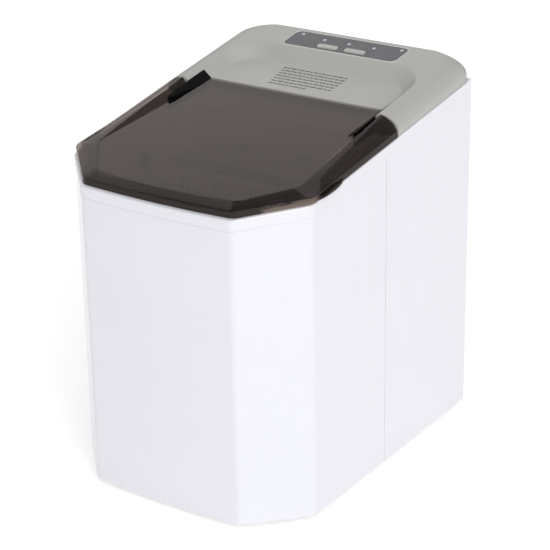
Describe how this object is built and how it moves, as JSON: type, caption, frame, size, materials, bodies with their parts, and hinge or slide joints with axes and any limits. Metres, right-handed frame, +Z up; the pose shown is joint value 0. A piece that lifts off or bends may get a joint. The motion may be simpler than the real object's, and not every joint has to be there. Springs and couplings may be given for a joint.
{
  "type": "countertop ice maker",
  "caption": "Countertop bullet-ice maker: white two-shell case with a sloping top, smoky hinged lid over an ice basket, grey cover with a button panel, and the refrigeration parts inside",
  "frame": {"origin": "on the floor under the middle of the object's box", "axes": "+X to the right of someone facing the front, +Y to the rear, +Z up"},
  "size_m": [0.2376, 0.3013, 0.3268],
  "materials": {
    "white_gloss": "glossy white moulded plastic",
    "liner_white": "satin white moulded plastic",
    "cover_grey": "satin warm grey moulded plastic",
    "lid_smoke": "smoky see-through polished plastic",
    "hinge_black": "black plastic",
    "panel_charcoal": "charcoal printed panel film",
    "button_silver": "pale silver painted plastic",
    "light_guide": "milky clear light guide",
    "basket_grey": "light grey plastic",
    "steel": "plain steel",
    "aluminium_fins": "plain aluminium",
    "copper": "plain copper tube",
    "compressor_black": "black enamel or black moulded housing",
    "circuit_board": "green solder mask",
    "foam": "foamed insulation",
    "silicone_hose": "milky silicone hose",
    "rubber": "black rubber"
  },
  "bodies": {
    "case": {"base_pan": "liner_white", "foot_front_left": "rubber", "foot_front_right": "rubber", "foot_rear_left": "rubber", "foot_rear_right": "rubber", "front_shell": "white_gloss", "rear_shell": "white_gloss", "inner_tank": "liner_white", "top_cover": "cover_grey", "control_panel": "panel_charcoal", "evaporator": "steel", "tilt_motor": "compressor_black", "water_pump": "compressor_black", "hinge_block_left": "hinge_black", "hinge_block_right": "hinge_black", "fan_shroud": "compressor_black", "tank_insulation": "foam", "compressor": "compressor_black", "compressor_bracket": "steel", "compressor_grommet_1": "rubber", "compressor_grommet_2": "rubber", "compressor_grommet_3": "rubber", "compressor_grommet_4": "rubber", "condenser": "aluminium_fins", "condenser_coil": "copper", "fan_bracket": "steel", "fan_motor": "steel", "filter_drier": "copper", "hot_gas_valve": "steel", "suction_tube": "copper", "discharge_tube": "copper", "capillary_tube": "copper", "main_board": "circuit_board", "control_board": "circuit_board", "led_light_guide": "light_guide", "power_switch": "compressor_black", "select_switch": "compressor_black", "drain_hose": "silicone_hose", "pump_hose": "silicone_hose", "water_level_sensor": "compressor_black", "ice_sensor_left": "compressor_black", "ice_sensor_right": "compressor_black", "rear_deck": "liner_white", "hinge_pin_left": "steel", "hinge_pin_right": "steel", "cord_gland": "rubber", "drain_port": "liner_white"},
    "lid": {"lid": "lid_smoke", "hinge_arm_left": "hinge_black", "hinge_arm_right": "hinge_black"},
    "ice_basket": {"ice_basket": "basket_grey"},
    "water_tray": {"water_tray": "basket_grey"},
    "ice_shovel": {"ice_shovel": "liner_white"},
    "power_button": {"power_button": "button_silver"},
    "select_button": {"select_button": "button_silver"},
    "fan_rotor": {"fan_rotor": "liner_white"},
    "drain_plug": {"drain_plug": "rubber"}
  },
  "joints": [
    {"name": "lid_hinge", "type": "hinge", "parent": "case", "child": "lid", "pos_m": [0, 0.0445, 0.29815], "axis": [-1, 0, 0], "range_deg": [0, 80]},
    {"name": "basket_lift", "type": "slide", "parent": "case", "child": "ice_basket", "axis": [0, 0, 1], "range_m": [0, 0.035]},
    {"name": "tray_tilt", "type": "hinge", "parent": "case", "child": "water_tray", "pos_m": [0, -0.0145, 0.232], "axis": [-1, 0, 0], "range_deg": [0, 65]},
    {"name": "shovel_slide", "type": "slide", "parent": "case", "child": "ice_shovel", "axis": [0, -1, 0], "range_m": [0, 0.038]},
    {"name": "power_press", "type": "slide", "parent": "case", "child": "power_button", "axis": [0, 0.1638, -0.9865], "range_m": [0, 0.0011], "stiffness_N_per_m": 400},
    {"name": "select_press", "type": "slide", "parent": "case", "child": "select_button", "axis": [0, 0.1638, -0.9865], "range_m": [0, 0.0011], "stiffness_N_per_m": 400},
    {"name": "fan_spin", "type": "hinge", "parent": "case", "child": "fan_rotor", "pos_m": [-0.058, 0.0915, 0.0975], "axis": [1, 0, 0], "continuous": true},
    {"name": "drain_plug_pull", "type": "slide", "parent": "case", "child": "drain_plug", "axis": [0, 1, 0], "range_m": [0, 0.015]}
  ],
  "couplings": [
    {"joint": "shovel_slide", "follows": "tray_tilt", "m_per_rad": 0.0334}
  ]
}
